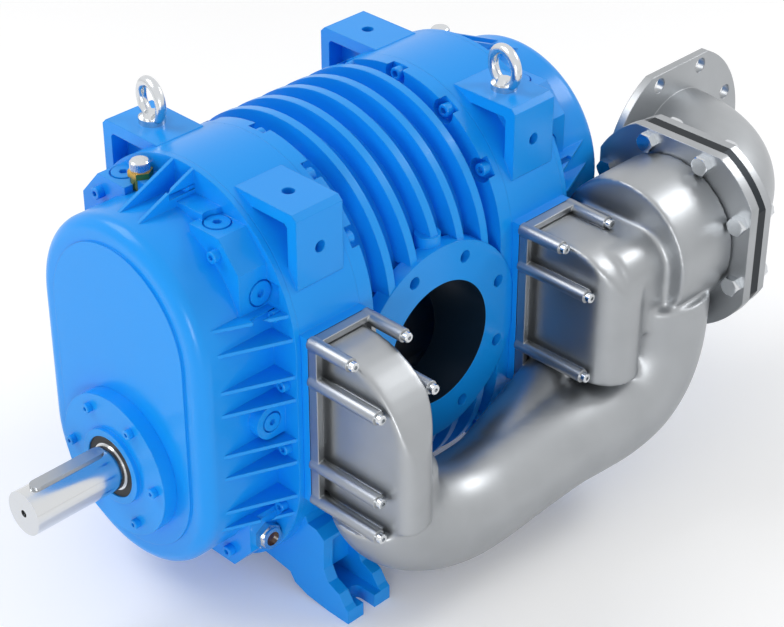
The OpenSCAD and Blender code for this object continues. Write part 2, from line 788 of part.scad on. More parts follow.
module duct_outside(bottom) {
    difference() {
        block([duct_x, -duct_y - duct_w / 2, -duct_half_h], [plate_face, -duct_y + duct_w / 2, duct_half_h]);
        block([plate_face - tray_depth, -duct_y - duct_w / 2 + tray_rim, -duct_half_h + tray_rim],
            [plate_face + 1, -duct_y + duct_w / 2 - tray_rim, duct_half_h - tray_rim]);
    }
    for (z = [row_mid, -row_mid, -row_top], s = [-1, 1])
        block([duct_x, -duct_y + (s < 0 ? -column : hood_w / 2 - 1), z - web_t / 2],
            [long_boss - 6, -duct_y + (s < 0 ? -hood_w / 2 + 1 : column), z + web_t / 2]);
    hood(0, bottom);
}
tray_rim = 8;
tray_depth = 8;
web_t = 5;

module hoods(inset) {
    hood(inset, front_bottom);
    at_rear() hood(inset, rear_bottom);
}

// The cross pipe's middle line: down from the front duct, back, and up to the valve
pipe_x = 278;
pipe_slant = 2;
pipe_bend = 130;
pipe_low = -186;
pipe_flat = 70;
pipe_rise = 32;
rise_bend = 290;
end_bend = 100;
end_rise = 90;
end_len = 50;
shoulder_h = 34;
shoulder_r = 32;
front_ledge = -118;
ledge_step = 1.5;
riser_r = 50;
riser_x = 285;
rise_len = 16;
band_gap = 1;
band_step = 0.4;
band_half = 4;
rise_y = pipe_flat + rise_bend * sin(pipe_rise);
rise_z = pipe_low + rise_bend * (1 - cos(pipe_rise));
turn_y = rise_y + rise_len * cos(pipe_rise);
turn_z = rise_z + rise_len * sin(pipe_rise);
end_y = turn_y + end_bend * (sin(end_rise) - sin(pipe_rise));
end_z = turn_z + end_bend * (cos(pipe_rise) - cos(end_rise));

// Part of a ring in the pipe's plane, round (y, z), from one angle to another
module pipe_arc(r, bend, y, z, from, sweep) translate([0, y, z]) rotate([90, 0, 90]) rotate([0, 0, from])
    rotate_extrude(angle = sweep) translate([bend, 0]) circle(r);

module pipe_straight(r, y, z, tilt, from, to) translate([0, y, z]) rotate([tilt - 90, 0, 0])
    translate([0, 0, from]) cylinder(r = r, h = to - from);
module pipe_band(r, y, z, tilt) pipe_straight(r + band_step, y, z, tilt, -band_half, band_half);
module pipe_run(r, inset) {
    translate([0, -duct_y, pipe_low + pipe_bend + band_gap])
        cylinder(r1 = r, r2 = shoulder_r - inset, h = shoulder_h - band_gap);
    pipe_band(r, -duct_y, pipe_low + pipe_bend, 90);
    pipe_arc(r, pipe_bend, pipe_bend - duct_y, pipe_low + pipe_bend, 180, 90);
    pipe_band(r, pipe_bend - duct_y, pipe_low, 0);
    pipe_straight(r, 0, pipe_low, 0, pipe_bend - duct_y + band_gap, pipe_flat - band_gap);
    pipe_band(r, pipe_flat, pipe_low, 0);
    pipe_arc(r, rise_bend, pipe_flat, pipe_low + rise_bend, 270, pipe_rise);
    pipe_band(r, rise_y, rise_z, pipe_rise);
    pipe_straight(r, rise_y, rise_z, pipe_rise, band_gap, rise_len - band_gap);
    pipe_band(r, turn_y, turn_z, pipe_rise);
    pipe_arc(r, end_bend, turn_y - end_bend * sin(pipe_rise), turn_z + end_bend * cos(pipe_rise),
        270 + pipe_rise, end_rise - pipe_rise);
    pipe_band(r, end_y, end_z, end_rise);
    pipe_straight(r, end_y, end_z, end_rise, band_gap, end_len - inset);
}
module cross_pipe(inset) difference() {
    translate([pipe_x, -duct_y, 0]) rotate([0, 0, -pipe_slant]) translate([0, duct_y, 0])
        pipe_run(pipe_r - inset, inset);
    block([pipe_x - 2 * pipe_r, -duct_y - 2 * pipe_r, front_ledge - inset],
        [pipe_x + 2 * pipe_r, -duct_y - hood_w / 2 + inset + ledge_step, front_ledge + 3 * pipe_r]);
}

// The link carries air from the valve housing to the rear duct, and stands in from its hood by a step
link_step = 5;
link_end = 312;
link_bottom = -21;
link_round = 25;

module link_outline(inset) intersection() {
    hood_outline(inset + link_step, rear_bottom);
    translate([0, link_bottom + inset]) square(hood_x);
}

module link(inset) {
    out = hood_x - link_step - inset;
    intersection() {
        translate([0, link_end - inset, 0]) facing_front() linear_extrude(link_end - duct_y) link_outline(inset);
        translate([0, 0, link_bottom]) linear_extrude(hood_top - link_bottom) {
            translate([duct_x - 2 * inset, duct_y])
                square([out - link_round + inset - duct_x + 2 * inset, link_end - inset - duct_y]);
            translate([out - link_round + inset - 1, duct_y])
                square([link_round - inset + 1, link_end - link_round - duct_y]);
            translate([out - link_round + inset, link_end - link_round]) circle(link_round - inset);
        }
    }
}

module manifold_outside() {
    duct_outside(front_bottom);
    at_rear() duct_outside(rear_bottom);
    cross_pipe(0);
    link(0);
    rod_y(valve_r, valve_front, flange_y + 1, valve_x, valve_z);
    flange_disc(flange_y, flange_y + flange_t);
}

module manifold_inside() {
    hoods(duct_wall);
    cross_pipe(duct_wall);
    link(duct_wall);
    rod_y(valve_r - duct_wall - 2, valve_front + 10, flange_y + flange_t + 1, valve_x, valve_z);
    translate([riser_x, end_y, end_z]) cylinder(r = riser_r, h = valve_z - end_z);
}

// The bosses are added after the hollow, so that no screw crosses the air's way bare
module air_manifold() color(cast_alu) from_centre() difference() {
    union() {
        difference() {
            manifold_outside();
            manifold_inside();
        }
        both_duct_rows() rod_x(boss_r, duct_x, $boss_end);
    }
    both_duct_rows() {
        rod_x(duct_screw_r + seat_gap, duct_x - 1, $boss_end + 1);
        rod_x(head_room, $boss_end, hood_x + 10);
    }
    bolt_circle() rod_y(bolt_r + seat_gap, flange_y - 1, seat_y + 1, port_pcd / 2, 0);
    rod_x(pin_r + seat_gap, valve_x - pin_half, valve_x + pin_half, hinge_y, valve_z + hinge_up);
}
head_room = 8;

// Round flange with flats at its top, bottom and sides
module flange_disc(y0, y1) intersection() {
    rod_y(valve_flange_od / 2, y0, y1, valve_x, valve_z);
    block([valve_x - 128, y0 - 1, valve_z - 128], [valve_x + 128, y1 + 1, valve_z + 128]);
}

module bolt_circle() translate([valve_x, 0, valve_z]) for (i = [0 : 7]) rotate([0, 45 * i + 22.5, 0]) children();

module valve_seat_ring() color([0.16, 0.17, 0.18]) from_centre() difference() {
    flange_disc(seat_y, elbow_y);
    rod_y(seat_bore / 2, seat_y - 1, elbow_y + 1, valve_x, valve_z);
    bolt_circle() rod_y(bolt_r + seat_gap, seat_y - 1, elbow_y + 1, port_pcd / 2, 0);
}

module valve_hinge_pin() color(steel) from_centre()
    rod_x(pin_r, valve_x - pin_half, valve_x + pin_half, hinge_y, valve_z + hinge_up);

module valve_flap() color([0.5, 0.51, 0.53]) from_centre() difference() {
    union() {
        rod_y(flap_r, seat_y - flap_t - run_gap, seat_y - run_gap, valve_x, valve_z);
        block([valve_x - 12, hinge_y - 5, valve_z + flap_r - 12], [valve_x + 12, seat_y - run_gap, valve_z + hinge_up]);
        rod_x(8, valve_x - 12, valve_x + 12, hinge_y, valve_z + hinge_up);
        rod_y(flap_boss_r, seat_y - flap_t - flap_boss_t, seat_y - flap_t, valve_x, valve_z);
    }
    rod_x(pin_r + seat_gap, valve_x - 13, valve_x + 13, hinge_y, valve_z + hinge_up);
}

// Inlet elbow with a round flange at each end

module elbow_tube() translate([inlet_x, elbow_start, valve_z]) rotate_extrude(angle = 90)
    translate([elbow_bend, 0]) difference() {
        circle(elbow_r);
        circle(elbow_r - duct_wall);
    }

module air_elbow() color(cast_alu) from_centre() {
    elbow_tube();
    difference() {
        flange_disc(elbow_y, elbow_start);
        rod_y(elbow_r - duct_wall, elbow_y - 1, elbow_start + 1, valve_x, valve_z);
        bolt_circle() rod_y(bolt_r + seat_gap, elbow_y - 1, elbow_start + 1, port_pcd / 2, 0);
    }
    difference() {
        intersection() {
            rod_x(port_od / 2, inlet_x - inlet_t, inlet_x, inlet_y, valve_z);
            block([inlet_x - inlet_t - 1, inlet_y - 143, valve_z - 143], [inlet_x + 1, inlet_y + 143, valve_z + 128]);
        }
        rod_x(elbow_r - duct_wall, inlet_x - inlet_t - 1, inlet_x + 1, inlet_y, valve_z);
        translate([0, inlet_y, valve_z]) for (i = [0 : 7]) rotate([45 * i + 22.5, 0, 0])
            rod_x(inlet_hole_r, inlet_x - inlet_t - 1, inlet_x + 1, port_pcd / 2, 0);
    }
}

module valve_bolts() color(steel) from_centre() bolt_circle() translate([port_pcd / 2, 0, 0]) {
    rod_y(nut_r, flange_y - 12, flange_y, 0, 0, $fn = 6);
    rod_y(bolt_r, flange_y - eps, elbow_start + 20);
}

module valve_nuts() color(steel) from_centre() bolt_circle() translate([port_pcd / 2, 0, 0]) difference() {
    rod_y(nut_r, elbow_start, elbow_start + 14, 0, 0, $fn = 6);
    rod_y(bolt_r + seat_gap, elbow_start - 1, elbow_start + 15);
}

rotor_casing();
front_end_plate();
rear_end_plate();
front_cover();
rear_cover();
shaft_seal_cover();
lip_seal();
rotor_shaft_seals();
bearing_outer_rings();
bearing_rollers();
bearing_caps();
drive_shaft();
drive_rotor();
drive_gear();
shaft_key();
drive_inner_rings();
driven_shaft();
driven_rotor();
driven_gear();
driven_inner_rings();
oil_slingers();
eye_bolts();
oil_filler_bases();
oil_filler_caps();
plug_discs();
sight_glass_rings();
sight_glass_windows();
front_cover_screws();
rear_cover_screws();
seal_cover_screws();
casing_screws();
duct_screws();
duct_gaskets();
air_manifold();
valve_seat_ring();
valve_hinge_pin();
valve_flap();
air_elbow();
valve_bolts();
valve_nuts();
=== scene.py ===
# %% [markdown]
# # Rotary lobe vacuum pump, dressed in Blender
# The pump is a heavy cast iron machine, painted with a bright blue gloss enamel. On its right side it
# carries a bare aluminium casting, which brings cooling air to both ends of the rotor chamber. The CAD
# model already has every piece in its true place and size, so it is loaded first as a fixed frame, and
# each step below gives a piece its finish or the small forms that the CAD leaves out.

# %% Load the frame
import json
import math

import bmesh
import bpy
from mathutils import Matrix, Vector


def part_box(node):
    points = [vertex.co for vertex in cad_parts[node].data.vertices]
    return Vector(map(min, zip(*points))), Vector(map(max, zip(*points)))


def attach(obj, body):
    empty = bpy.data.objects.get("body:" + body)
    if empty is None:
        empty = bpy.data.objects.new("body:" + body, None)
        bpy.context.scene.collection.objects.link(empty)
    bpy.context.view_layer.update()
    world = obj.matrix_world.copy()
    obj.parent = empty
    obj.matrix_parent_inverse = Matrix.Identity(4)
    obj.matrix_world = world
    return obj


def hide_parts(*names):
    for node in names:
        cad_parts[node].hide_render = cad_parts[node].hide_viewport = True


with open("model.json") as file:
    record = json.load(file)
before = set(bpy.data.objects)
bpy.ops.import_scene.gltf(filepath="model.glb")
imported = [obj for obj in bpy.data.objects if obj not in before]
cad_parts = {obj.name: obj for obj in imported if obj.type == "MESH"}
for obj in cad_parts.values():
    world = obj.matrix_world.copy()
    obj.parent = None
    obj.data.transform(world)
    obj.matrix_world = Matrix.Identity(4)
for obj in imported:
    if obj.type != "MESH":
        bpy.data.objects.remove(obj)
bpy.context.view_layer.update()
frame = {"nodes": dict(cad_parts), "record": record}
nodes = frame["nodes"]
MM = 0.001

# %% [markdown]
# The pump is described from one point: the middle of the ports, half way between the two shafts. The
# joints of the frame give the two shafts, so their middle is worked out and not typed.

# %% Find the middle of the pump
shaft_heights = sorted(j["pos_m"][2] for j in frame["record"]["behaviour"]["joints"] if j.get("continuous"))
CENTRE = Vector((0, 0, sum(shaft_heights) / 2))
print("middle of the ports:", round(CENTRE.z, 4), "m above the base")


# %% [markdown]
# Colours are written as the familiar hex values, which are in sRGB. Blender works in linear light, so
# one function turns them. One more adds a node with its settings and its links, which keeps each
# material and each tree short to read. An input in the list takes a socket to link or a plain value.

# %% Two helpers for nodes
def linear(hex_colour):
    """Turn an sRGB hex colour such as '1E90FF' into linear RGBA."""
    parts = [int(hex_colour[i:i + 2], 16) / 255 for i in (0, 2, 4)]
    return (*[p / 12.92 if p <= 0.04045 else ((p + 0.055) / 1.055) ** 2.4 for p in parts], 1)


def add_node(tree, kind, inputs=(), **settings):
    """Add a node, set its properties by name, and give its inputs a source socket or a value each."""
    node = tree.nodes.new(kind)
    for name, value in settings.items():
        if hasattr(node, name):
            setattr(node, name, value)
        else:
            node.inputs[name.replace("_", " ")].default_value = value
    for name, source in inputs:
        if isinstance(source, bpy.types.NodeSocket):
            tree.links.new(source, node.inputs[name])
        else:
            node.inputs[name].default_value = source
    return node


def new_material(name):
    """Start an empty material and return it with its tree and its shader."""
    material = bpy.data.materials.new(name)
    material.use_nodes = True
    tree = material.node_tree
    return material, tree, tree.nodes["Principled BSDF"]


print("a middle grey in linear light:", round(linear("808080")[0], 3))


# %% [markdown]
# ## Blue gloss enamel on sand-cast iron
# A sand casting has no sharp edge: the pattern's edges are rounded, and thick enamel rounds them again.
# Rounding the mesh would cost hundreds of thousands of faces, so the Bevel node bends the shading within
# a millimetre and a half of each edge, which gives the thin bright line that real edges have. Over that,
# a slow noise gives the soft waviness of the casting, and a finer one the orange peel of the paint.
# The painter masks the ports, so inside their bore the iron is bare; its dark navy there is painted shade,
# standing for the shade deep in the bore. The distance from the ports' common middle line tells the two
# apart.

# %% Blue enamel
PORT_RADIUS = 88 * MM
ENAMEL_EDGE = 1.6 * MM
CASTING_WAVE = 40 * MM
# Real orange peel is about two millimetres across. It is drawn coarser, or it would not show.
ORANGE_PEEL = 6 * MM


def blue_enamel():
    material, tree, shader = new_material("blue_gloss_enamel_on_cast_iron")
    place = add_node(tree, "ShaderNodeTexCoord").outputs["Object"]
    edges = add_node(tree, "ShaderNodeBevel", Radius=ENAMEL_EDGE, samples=6)
    wave = add_node(tree, "ShaderNodeTexNoise", [("Vector", place)], Scale=1 / CASTING_WAVE, Detail=1.0)
    peel = add_node(tree, "ShaderNodeTexNoise", [("Vector", place)], Scale=1 / ORANGE_PEEL, Detail=2.0)
    coarse = add_node(tree, "ShaderNodeBump", [
        ("Height", wave.outputs["Fac"]), ("Normal", edges.outputs["Normal"]),
        ("Strength", 0.2), ("Distance", 1.0 * MM)])
    fine = add_node(tree, "ShaderNodeBump", [
        ("Height", peel.outputs["Fac"]), ("Normal", coarse.outputs["Normal"]),
        ("Strength", 0.12), ("Distance", 0.3 * MM)])
    tree.links.new(fine.outputs["Normal"], shader.inputs["Normal"])
    across = add_node(tree, "ShaderNodeVectorMath", [(0, place), (1, (0, 1, 1)), (2, (0, 0, -CENTRE.z))],
                      operation="MULTIPLY_ADD")
    reach = add_node(tree, "ShaderNodeVectorMath", [(0, across.outputs["Vector"])], operation="LENGTH")
    painted = add_node(tree, "ShaderNodeMapRange", [
        ("Value", reach.outputs["Value"]),
        ("From Min", PORT_RADIUS + 0.05 * MM), ("From Max", PORT_RADIUS + 0.15 * MM)])
    coat = add_node(tree, "ShaderNodeValToRGB", [("Fac", painted.outputs["Result"])])
    # Painted shade: inside the port bore the colour is a dark navy for the shade deep in the bore, laid over
    # bare iron.
    bare_iron_and_painted_shade, enamel = coat.color_ramp.elements
    bare_iron_and_painted_shade.color = linear("16283A")
    enamel.color = linear("1096F0")
    tree.links.new(coat.outputs["Color"], shader.inputs["Base Color"])
    shader.inputs["Roughness"].default_value = 0.3
    shader.inputs["Specular IOR Level"].default_value = 0.25
    shader.inputs["Coat Weight"].default_value = 0.15
    shader.inputs["Coat Roughness"].default_value = 0.1
    print(material.name, len(tree.nodes), "nodes")
    return material


# %% [markdown]
# ## Shot-blasted cast aluminium
# The air casting is left bare. Shot blasting leaves a fine, even grain that scatters the light, so the
# metal looks satin and its highlights are wide. The skin of a casting also varies a little in tone where
# the melt flowed, which a broad and faint noise gives. Its edges are rounded as the pump's are.

# %% Cast aluminium
ALUMINIUM_EDGE = 2.0 * MM
MELT_FLOW = 60 * MM
# Shot leaves dents of about half a millimetre. They are drawn twice as wide, so that they show.
BLAST_GRAIN = 1.1 * MM


def blasted_aluminium():
    material, tree, shader = new_material("shot_blasted_cast_aluminium")
    place = add_node(tree, "ShaderNodeTexCoord").outputs["Object"]
    edges = add_node(tree, "ShaderNodeBevel", Radius=ALUMINIUM_EDGE, samples=6)
    grain = add_node(tree, "ShaderNodeTexNoise", [("Vector", place)], Scale=1 / BLAST_GRAIN, Detail=3.0)
    flow = add_node(tree, "ShaderNodeTexNoise", [("Vector", place)], Scale=1 / MELT_FLOW, Detail=2.0)
    tone = add_node(tree, "ShaderNodeValToRGB", [("Fac", flow.outputs["Fac"])])
    darker, lighter = tone.color_ramp.elements
    darker.position, darker.color = 0.35, linear("A6A9AC")
    lighter.position, lighter.color = 0.65, linear("ABAEB1")
    bump = add_node(tree, "ShaderNodeBump", [
        ("Height", grain.outputs["Fac"]), ("Normal", edges.outputs["Normal"]),
        ("Strength", 0.22), ("Distance", 0.3 * MM)])
    tree.links.new(tone.outputs["Color"], shader.inputs["Base Color"])
    tree.links.new(bump.outputs["Normal"], shader.inputs["Normal"])
    shader.inputs["Metallic"].default_value = 1.0
    shader.inputs["Roughness"].default_value = 0.4
    print(material.name, len(tree.nodes), "nodes")
    return material


# %% [markdown]
# ## Plain metals, rubber and glass
# Turned, ground and plated pieces differ mostly in how rough they are. Each one is named for how it was
# made, so a table of a few values is enough for them.

# %% Plain finishes
def plain(name, colour, metallic, roughness):
    material, tree, shader = new_material(name)
    shader.inputs["Base Color"].default_value = linear(colour)
    shader.inputs["Metallic"].default_value = metallic
    shader.inputs["Roughness"].default_value = roughness
    return material


FINISH = {
    "blue_paint": blue_enamel(),
    "cast_aluminium": blasted_aluminium(),
    "plated_steel": plain("bright_zinc_plated_steel", "D4D7DA", 1.0, 0.2),
    "ground_steel": plain("ground_steel", "D8DADC", 1.0, 0.16),
    "bearing_steel": plain("hardened_bearing_steel", "C8CACC", 1.0, 0.18),
    "gear_steel": plain("hobbed_gear_steel", "8E9194", 1.0, 0.35),
    "key_steel": plain("drawn_key_steel", "B0B3B6", 1.0, 0.3),
    "rotor_iron": plain("milled_cast_iron", "7F8388", 1.0, 0.4),
    "raw_cast_iron": plain("machined_cast_iron", "6B6F74", 1.0, 0.5),
    "dark_ring": plain("blackened_cast_iron", "34383C", 1.0, 0.5),
    "brass": plain("turned_brass", "C9A04C", 1.0, 0.25),
    "black_rubber": plain("moulded_nitrile_rubber", "16171A", 0.0, 0.55),
    "gasket": plain("pressed_gasket_sheet", "2B2E33", 0.0, 0.7),
    "seal_metal": plain("turned_seal_carrier", "5B5F64", 1.0, 0.4),
    "oil_window": plain("oil_behind_sight_glass", "4A2C12", 0.0, 0.08),
}
slot_of = {part["node"]: part["material_slot"] for part in frame["record"]["subparts"]}
for name, obj in nodes.items():
    for index in range(len(obj.data.materials)):
        obj.data.materials[index] = FINISH[slot_of[name]]
print("finishes:", len(FINISH))


# %% [markdown]
# ## Screws that know their place
# The CAD model holds every screw as a plain solid: a drum with a hexagon in it. Its place and direction
# are right, so they are measured from the solids themselves. Each group of screws is one mesh of
# separate solids, and a walk along the edges from one corner finds all the corners of one solid.

# %% Measure the solids of a group
SAME_CORNER = 0.02 * MM
SAME_LEVEL = 0.05 * MM


def solids_of(node):
    """Split a CAD node into its separate solids and return the corners of each."""
    mesh = bmesh.new()
    mesh.from_mesh(nodes[node].data)
    bmesh.ops.remove_doubles(mesh, verts=mesh.verts, dist=SAME_CORNER)
    seen, solids = set(), []
    for start in mesh.verts:
        if start in seen:
            continue
        seen.add(start)
        waiting, corners = [start], []
        while waiting:
            vertex = waiting.pop()
            corners.append(vertex.co.copy())
            for edge in vertex.link_edges:
                other = edge.other_vert(vertex)
                if other not in seen:
                    seen.add(other)
                    waiting.append(other)
        solids.append(corners)
    mesh.free()
    return solids


def turned_solid(corners, axis):
    """Return the middle line's two ends, the wide one last, and the widest radius."""
    low = Vector([min(c[i] for c in corners) for i in range(3)])
    high = Vector([max(c[i] for c in corners) for i in range(3)])
    ends, widths = [], []
    for level in (low[axis], high[axis]):
        end = (low + high) / 2
        end[axis] = level
        ends.append(end)
        widths.append(max((c - end).length for c in corners if abs(c[axis] - level) < SAME_LEVEL))
    if widths[0] > widths[1]:
        ends.reverse()
    return ends[0], ends[1], max(widths)


print("duct screws found:", len(solids_of("duct_screws")))

# %% [markdown]
# ## The air casting
# The aluminium manifold is one sand casting: two hoods over the ducts, a fat pipe that runs low past the
# port, and a neck up to the valve. In the foundry all of these flow into one another with soft, wide
# fillets. A voxel remesh is made for such forms: closed shapes are simply laid into one another, the
# remesh keeps their common skin, and smoothing rounds every edge and fills every inner corner.
# First come the sizes. Heights are measured from the middle of the ports.

# %% Sizes of the casting
DUCT_Y = 188 * MM
DUCT_FACE = 205.4 * MM
PLATE_HALF_WIDTH = 50 * MM
PLATE_HALF_HEIGHT = 122 * MM
PLATE_THICKNESS = 14 * MM
PLATE_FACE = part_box("duct_gaskets")[1][0] + PLATE_THICKNESS
HOOD_HALF = 33.5 * MM
HOOD_OUT = 357.5 * MM
HOOD_TOP = 112.5 * MM
PIPE_X = 278 * MM
PIPE_RADIUS = 69.5 * MM
VALVE = Vector((276, 0, 58)) * MM
VALVE_RADIUS = 104.5 * MM
VALVE_FRONT = 262 * MM
VALVE_BORE = 94 * MM
BORE_END = 400 * MM
FLANGE_Y = 366 * MM
FLANGE_THICKNESS = 15 * MM
print("duct plates end at", round(PLATE_FACE / MM, 2), "mm")


# %% [markdown]
# A few plain shapes make all of it: a prism from an outline, a round bar or cone, and a box. Each is
# closed, with its faces outwards, because a remesh and a boolean both need to know inside from outside.

# %% Plain shapes
def keep(name, mesh):
    """Turn a bmesh into an object of the scene, with its faces outwards."""
    bmesh.ops.recalc_face_normals(mesh, faces=mesh.faces)
    data = bpy.data.meshes.new(name)
    mesh.to_mesh(data)
    mesh.free()
    obj = bpy.data.objects.new(name, data)
    bpy.context.scene.collection.objects.link(obj)
    return obj


def prism(name, outline, low, high, place):
    """A closed prism: an outline of (a, b) corners, carried from low to high along the third way."""
    mesh = bmesh.new()
    rings = [[mesh.verts.new(place(a, b, level)) for a, b in outline] for level in (low, high)]
    for ring in rings:
        mesh.faces.new(ring)
    for i in range(len(outline)):
        j = (i + 1) % len(outline)
        mesh.faces.new((rings[0][i], rings[0][j], rings[1][j], rings[1][i]))
    return keep(name, mesh)


def seen_from_front(a, b, level):
    return Vector((a, level, b)) + CENTRE


def seen_from_above(a, b, level):
    return Vector((a, b, level)) + CENTRE


def drum(name, radius, start, end, sides=64, end_radius=None):
    """A round bar, or a cone, between two points measured from the middle of the ports."""
    start, end = Vector(start) + CENTRE, Vector(end) + CENTRE
    mesh = bmesh.new()
    bmesh.ops.create_cone(mesh, cap_ends=True, segments=sides, radius1=radius,
                          radius2=radius if end_radius is None else end_radius, depth=(end - start).length)
    turn = (end - start).to_track_quat("Z", "Y").to_matrix().to_4x4()
    bmesh.ops.transform(mesh, matrix=Matrix.Translation((start + end) / 2) @ turn, verts=mesh.verts)
    return keep(name, mesh)


def along_valve(name, radius, start_y, end_y, sides=96):
    """A round bar on the valve's middle line."""
    return drum(name, radius, VALVE + Vector((0, start_y, 0)), VALVE + Vector((0, end_y, 0)), sides)


def box(name, low, high):
    outline = [(low[0], low[1]), (high[0], low[1]), (high[0], high[1]), (low[0], high[1])]
    return prism(name, outline, low[2], high[2], seen_from_above)


# %% [markdown]
# Shapes are cut with the exact boolean, which is slow but never leaves a torn edge. The cutting tool is
# used up, so that it doesn't stay in the scene. An arc is needed for the roundings of the outlines.

# %% Cut, join and round
def settled(obj):
    """Run an object's modifiers and keep the result as its plain mesh."""
    mesh = bpy.data.meshes.new_from_object(obj.evaluated_get(bpy.context.evaluated_depsgraph_get()))
    obj.modifiers.clear()
    obj.data = mesh
    return obj


def cut(obj, tool, how="DIFFERENCE"):
    """Boolean with another object, which is used up."""
    modifier = obj.modifiers.new("cut", "BOOLEAN")
    modifier.operation, modifier.object, modifier.solver = how, tool, "EXACT"
    settled(obj)
    bpy.data.objects.remove(tool)
    return obj


def merged(name, parts):
    """Lay several objects into one mesh, without joining their skins."""
    mesh = bmesh.new()
    for part in parts:
        mesh.from_mesh(part.data)
        bpy.data.objects.remove(part)
    return keep(name, mesh)


def shade(mesh, sharp_angle):
    """Smooth shading, with a sharp edge wherever two faces meet at more than an angle in degrees."""
    mesh.polygons.foreach_set("use_smooth", [True] * len(mesh.polygons))
    mesh.set_sharp_from_angle(angle=math.radians(sharp_angle))


def arc(a, b, radius, start, end, steps=12):
    """Corners on an arc round (a, b), from one angle to another, in degrees."""
    angles = [math.radians(start + (end - start) * i / steps) for i in range(steps + 1)]
    return [(a + radius * math.cos(t), b + radius * math.sin(t)) for t in angles]


print("corners on a rounding:", len(arc(0, 0, 1, 0, 90)))


# %% [markdown]
# A hood is what two prisms share: one has the outline that is seen from the front, with the big arc that
# turns the air, and the other the outline that is seen from above, with a wide rounding on the side of
# the port and a small one on the other.

# %% Hoods
WIDE_ROUNDING = 45 * MM
SMALL_ROUNDING = 20 * MM


def hood(name, side, bottom, arc_radius):
    centre_x, centre_z = HOOD_OUT - arc_radius, HOOD_TOP - arc_radius
    front_view = [(DUCT_FACE, bottom), (HOOD_OUT, bottom)] + arc(centre_x, centre_z, arc_radius, 0, 90)
    front_view.append((DUCT_FACE, HOOD_TOP))
    body = prism(name, front_view, side * DUCT_Y - HOOD_HALF, side * DUCT_Y + HOOD_HALF, seen_from_front)
    inner, outer = DUCT_Y - HOOD_HALF, DUCT_Y + HOOD_HALF
    above = [(DUCT_FACE, inner)]
    above += arc(HOOD_OUT - WIDE_ROUNDING, inner + WIDE_ROUNDING, WIDE_ROUNDING, -90, 0)
    above += arc(HOOD_OUT - SMALL_ROUNDING, outer - SMALL_ROUNDING, SMALL_ROUNDING, 0, 90)
    above = [(a, side * b) for a, b in above + [(DUCT_FACE, outer)]]
    return cut(body, prism("plan", above, bottom, HOOD_TOP, seen_from_above), "INTERSECT")


soft_parts = [hood("front_hood", -1, -110 * MM, 130 * MM), hood("rear_hood", 1, -80 * MM, 78 * MM)]
print("hoods:", [part.name for part in soft_parts])

# %% [markdown]
# The link leads from the rear hood into the valve, and is made in the same way. The valve housing is a
# plain drum. A cone makes the shoulder where the pipe leaves the front hood.

# %% Link, valve housing and shoulder
LINK_TOP, LINK_LOW = 108 * MM, -20 * MM
LINK_OUT, LINK_END = 352 * MM, 312 * MM
LINK_ARC, LINK_CORNER = 44 * MM, 25 * MM
link_view = [(DUCT_FACE, LINK_LOW), (LINK_OUT, LINK_LOW)]
link_view += arc(LINK_OUT - LINK_ARC, LINK_TOP - LINK_ARC, LINK_ARC, 0, 90) + [(DUCT_FACE, LINK_TOP)]
link = prism("link", link_view, DUCT_Y, LINK_END, seen_from_front)
link_plan = [(DUCT_FACE, DUCT_Y), (LINK_OUT, DUCT_Y)]
link_plan += arc(LINK_OUT - LINK_CORNER, LINK_END - LINK_CORNER, LINK_CORNER, 0, 90) + [(DUCT_FACE, LINK_END)]
cut(link, prism("plan", link_plan, LINK_LOW, LINK_TOP, seen_from_above), "INTERSECT")
housing = along_valve("valve_housing", VALVE_RADIUS, VALVE_FRONT, FLANGE_Y)

SHOULDER_WIDE, SHOULDER_SMALL = 70 * MM, 31 * MM
shoulder_low, shoulder_high = (PIPE_X, -DUCT_Y, -56 * MM), (PIPE_X, -DUCT_Y, -22 * MM)
shoulder = drum("front_shoulder", SHOULDER_WIDE, shoulder_low, shoulder_high, 64, SHOULDER_SMALL)
soft_parts += [link, housing, shoulder]
print("plain shapes of the casting:", [part.name for part in soft_parts])


# %% [markdown]
# ## Geometry Nodes trees
# The pipe and all the screws are grown by Geometry Nodes trees. Each one takes its sizes as named
# inputs, and ends by making its copies real and giving them their finish, because an export would drop
# copies that are only instances.

# %% Start and close a tree
def start_tree(name, sizes):
    """A new tree with a geometry input, a length for each name in sizes, and the finish."""
    tree = bpy.data.node_groups.new(name, "GeometryNodeTree")
    tree.interface.new_socket("Places", in_out="INPUT", socket_type="NodeSocketGeometry")
    for size in sizes:
        tree.interface.new_socket(size, in_out="INPUT", socket_type="NodeSocketFloat")
    tree.interface.new_socket("Finish", in_out="INPUT", socket_type="NodeSocketMaterial")
    tree.interface.new_socket("Result", in_out="OUTPUT", socket_type="NodeSocketGeometry")
    return tree, tree.nodes.new("NodeGroupInput").outputs


def close_tree(tree, given, shape):
    """Make the shape real, give it its finish and send it out."""
    real = add_node(tree, "GeometryNodeRealizeInstances", [("Geometry", shape)])
    painted = add_node(tree, "GeometryNodeSetMaterial", [
        ("Geometry", real.outputs["Geometry"]), ("Material", given["Finish"])])
    add_node(tree, "NodeGroupOutput", [("Result", painted.outputs["Geometry"])])
    print(tree.name, "tree:", len(tree.nodes), "nodes")


def grown(name, tree, start_mesh, values):
    """Run a tree on a mesh. Its inputs are set by identifier, and the result is kept as a plain mesh."""
    piece = bpy.data.objects.new(name, start_mesh)
    bpy.context.scene.collection.objects.link(piece)
    modifier = piece.modifiers.new("grow", "NODES")
    modifier.node_group = tree
    for item in tree.interface.items_tree:
        if item.in_out == "INPUT" and item.name in values:
            modifier[item.identifier] = values[item.name]
    return settled(piece)


# %% [markdown]
# The pipe follows a line through a few points, like a snake: down from the front hood, low along the
# machine, and up to the valve. A tree turns the points into a curve, smooths it as a Catmull-Rom spline,
# and sweeps a circle along it. The radius is its named input.

